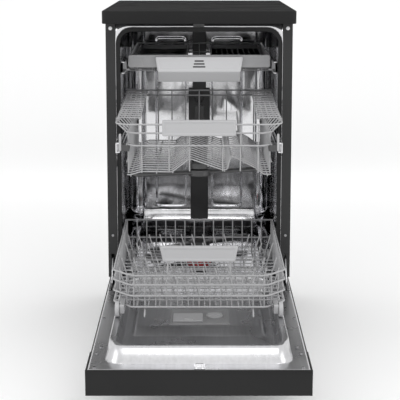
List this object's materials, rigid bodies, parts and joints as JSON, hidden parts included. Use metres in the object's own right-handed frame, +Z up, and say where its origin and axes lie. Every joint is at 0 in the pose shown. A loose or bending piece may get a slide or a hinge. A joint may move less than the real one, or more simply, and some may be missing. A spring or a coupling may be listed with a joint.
{
  "type": "dishwasher",
  "caption": "Slimline dishwasher with its worktop, shown with the door open flat, the lower and middle racks drawn out and a cutlery rack on top.",
  "frame": {"origin": "centre of the open machine's bounding box, on the floor", "axes": "+X to the machine's right seen from the front, +Y to its back, +Z up"},
  "size_m": [0.45, 1.1528, 0.85],
  "materials": {
    "black_board": "satin",
    "black_paint": "satin",
    "steel": "polished",
    "zinc": "satin",
    "black_plastic": "satin",
    "dark_plastic": "satin",
    "light_plastic": "satin",
    "white_plastic": "satin",
    "red_plastic": "satin",
    "rubber": "matte",
    "wire_coat": "satin",
    "handle_grey": "satin",
    "board_green": "gloss",
    "galvanised": "satin"
  },
  "bodies": {
    "cabinet": {"worktop": "black_board", "side_panel_left": "black_paint", "side_panel_right": "black_paint", "back_panel": "galvanised", "base_pan": "black_plastic", "kick_plate": "black_paint", "tub": "steel", "door_seal": "rubber", "door_lock": "dark_plastic", "water_duct": "dark_plastic", "sump": "dark_plastic", "filter_plate": "steel", "circulation_pump": "black_plastic", "drain_pump": "black_plastic", "inlet_valve": "white_plastic", "softener": "white_plastic", "feet": "black_plastic", "flange_plugs": "white_plastic", "flange_screws": "zinc", "rack_rails": "steel", "hinge_brackets": "zinc", "cable_gland": "black_plastic"},
    "filter": {"filter_handle": "red_plastic"},
    "salt_cap": {"salt_cap": "dark_plastic"},
    "lower_spray_arm": {"lower_spray_arm": "dark_plastic"},
    "door": {"door_outer_panel": "black_paint", "door_inner_liner": "steel", "control_fascia": "black_plastic", "control_board": "board_green", "dispenser": "light_plastic", "door_strike": "steel", "hinge_arms": "zinc", "rim_screws": "zinc"},
    "dispenser_lid": {"dispenser_lid": "light_plastic"},
    "rinse_aid_cap": {"rinse_aid_cap": "light_plastic"},
    "power_button": {"power_button": "light_plastic"},
    "start_button": {"start_button": "light_plastic"},
    "lower_rack": {"lower_rack_ends": "wire_coat", "lower_rack_sides": "wire_coat", "lower_rack_floor": "wire_coat", "lower_rack_tines": "wire_coat", "lower_rack_handle": "handle_grey"},
    "lower_wheel_front_left": {"lower_wheel_front_left": "handle_grey"},
    "lower_wheel_front_right": {"lower_wheel_front_right": "handle_grey"},
    "lower_wheel_back_left": {"lower_wheel_back_left": "handle_grey"},
    "lower_wheel_back_right": {"lower_wheel_back_right": "handle_grey"},
    "middle_rack": {"mid_rack_ends": "wire_coat", "mid_rack_sides": "wire_coat", "mid_rack_floor": "wire_coat", "mid_rack_handle": "handle_grey", "mid_sliders": "light_plastic", "mid_water_feed": "dark_plastic"},
    "middle_tines": {"mid_rack_tines": "wire_coat"},
    "middle_spray_arm": {"mid_spray_arm": "dark_plastic"},
    "cup_shelf_left": {"cup_shelf_left": "wire_coat"},
    "cup_shelf_right": {"cup_shelf_right": "wire_coat"},
    "cutlery_rack": {"third_rack_frame": "wire_coat", "third_rack_handle": "handle_grey"},
    "cutlery_insert_left": {"third_insert_left": "dark_plastic"},
    "cutlery_insert_right": {"third_insert_right": "dark_plastic"}
  },
  "joints": [
    {"name": "door_hinge", "type": "hinge", "parent": "cabinet", "child": "door", "pos_m": [0, 0.03287, 0.2085], "axis": [1, 0, 0], "range_deg": [0, 1.5]},
    {"name": "lower_rack_slide", "type": "slide", "parent": "cabinet", "child": "lower_rack", "axis": [0, 1, 0], "range_m": [0, 0.404]},
    {"name": "middle_rack_slide", "type": "slide", "parent": "cabinet", "child": "middle_rack", "axis": [0, 1, 0], "range_m": [-0.12, 0.276]},
    {"name": "cutlery_rack_slide", "type": "slide", "parent": "cabinet", "child": "cutlery_rack", "axis": [0, 1, 0], "range_m": [-0.35, 0.03]},
    {"name": "lower_arm_spin", "type": "hinge", "parent": "cabinet", "child": "lower_spray_arm", "pos_m": [0, 0.28537, 0.225], "axis": [0, 0, 1], "continuous": true},
    {"name": "middle_arm_spin", "type": "hinge", "parent": "middle_rack", "child": "middle_spray_arm", "pos_m": [0, 0.03337, 0.463], "axis": [0, 0, 1], "continuous": true},
    {"name": "wheel_front_left_spin", "type": "hinge", "parent": "lower_rack", "child": "lower_wheel_front_left", "pos_m": [-0.1737, -0.33363, 0.2353], "axis": [1, 0, 0], "continuous": true},
    {"name": "wheel_front_right_spin", "type": "hinge", "parent": "lower_rack", "child": "lower_wheel_front_right", "pos_m": [0.1737, -0.33363, 0.2353], "axis": [1, 0, 0], "continuous": true},
    {"name": "wheel_back_left_spin", "type": "hinge", "parent": "lower_rack", "child": "lower_wheel_back_left", "pos_m": [-0.1737, 0.11637, 0.2353], "axis": [1, 0, 0], "continuous": true},
    {"name": "wheel_back_right_spin", "type": "hinge", "parent": "lower_rack", "child": "lower_wheel_back_right", "pos_m": [0.1737, 0.11637, 0.2353], "axis": [1, 0, 0], "continuous": true},
    {"name": "cup_shelf_left_fold", "type": "hinge", "parent": "middle_rack", "child": "cup_shelf_left", "pos_m": [-0.179, 0.03337, 0.6285], "axis": [0, -0.9987, -0.0504], "range_deg": [0, 80]},
    {"name": "cup_shelf_right_fold", "type": "hinge", "parent": "middle_rack", "child": "cup_shelf_right", "pos_m": [0.179, 0.03337, 0.6285], "axis": [0, 0.9987, 0.0504], "range_deg": [0, 80]},
    {"name": "middle_tines_fold", "type": "hinge", "parent": "middle_rack", "child": "middle_tines", "pos_m": [0.098, 0.03337, 0.534], "axis": [0, 1, 0], "range_deg": [0, 78]},
    {"name": "cutlery_insert_left_slide", "type": "slide", "parent": "cutlery_rack", "child": "cutlery_insert_left", "axis": [1, 0, 0], "range_m": [0, 0.028]},
    {"name": "cutlery_insert_right_slide", "type": "slide", "parent": "cutlery_rack", "child": "cutlery_insert_right", "axis": [1, 0, 0], "range_m": [-0.028, 0]},
    {"name": "dispenser_lid_slide", "type": "slide", "parent": "door", "child": "dispenser_lid", "axis": [0, 0.9998, 0.0175], "range_m": [0, 0.034]},
    {"name": "rinse_aid_cap_turn", "type": "hinge", "parent": "door", "child": "rinse_aid_cap", "pos_m": [0.034, -0.25488, 0.19198], "axis": [0, -0.0175, 0.9998], "range_deg": [0, 90]},
    {"name": "power_button_press", "type": "slide", "parent": "door", "child": "power_button", "axis": [0, -0.0175, 0.9998], "range_m": [0, 0.002], "stiffness_N_per_m": 600},
    {"name": "start_button_press", "type": "slide", "parent": "door", "child": "start_button", "axis": [0, -0.0175, 0.9998], "range_m": [0, 0.002], "stiffness_N_per_m": 600},
    {"name": "filter_turn", "type": "hinge", "parent": "cabinet", "child": "filter", "pos_m": [0, 0.17641, 0.2], "axis": [0, 0, 1], "range_deg": [0, 90]},
    {"name": "salt_cap_turn", "type": "hinge", "parent": "cabinet", "child": "salt_cap", "pos_m": [-0.112, 0.23237, 0.2], "axis": [0, 0, 1], "range_deg": [0, 120]}
  ]
}
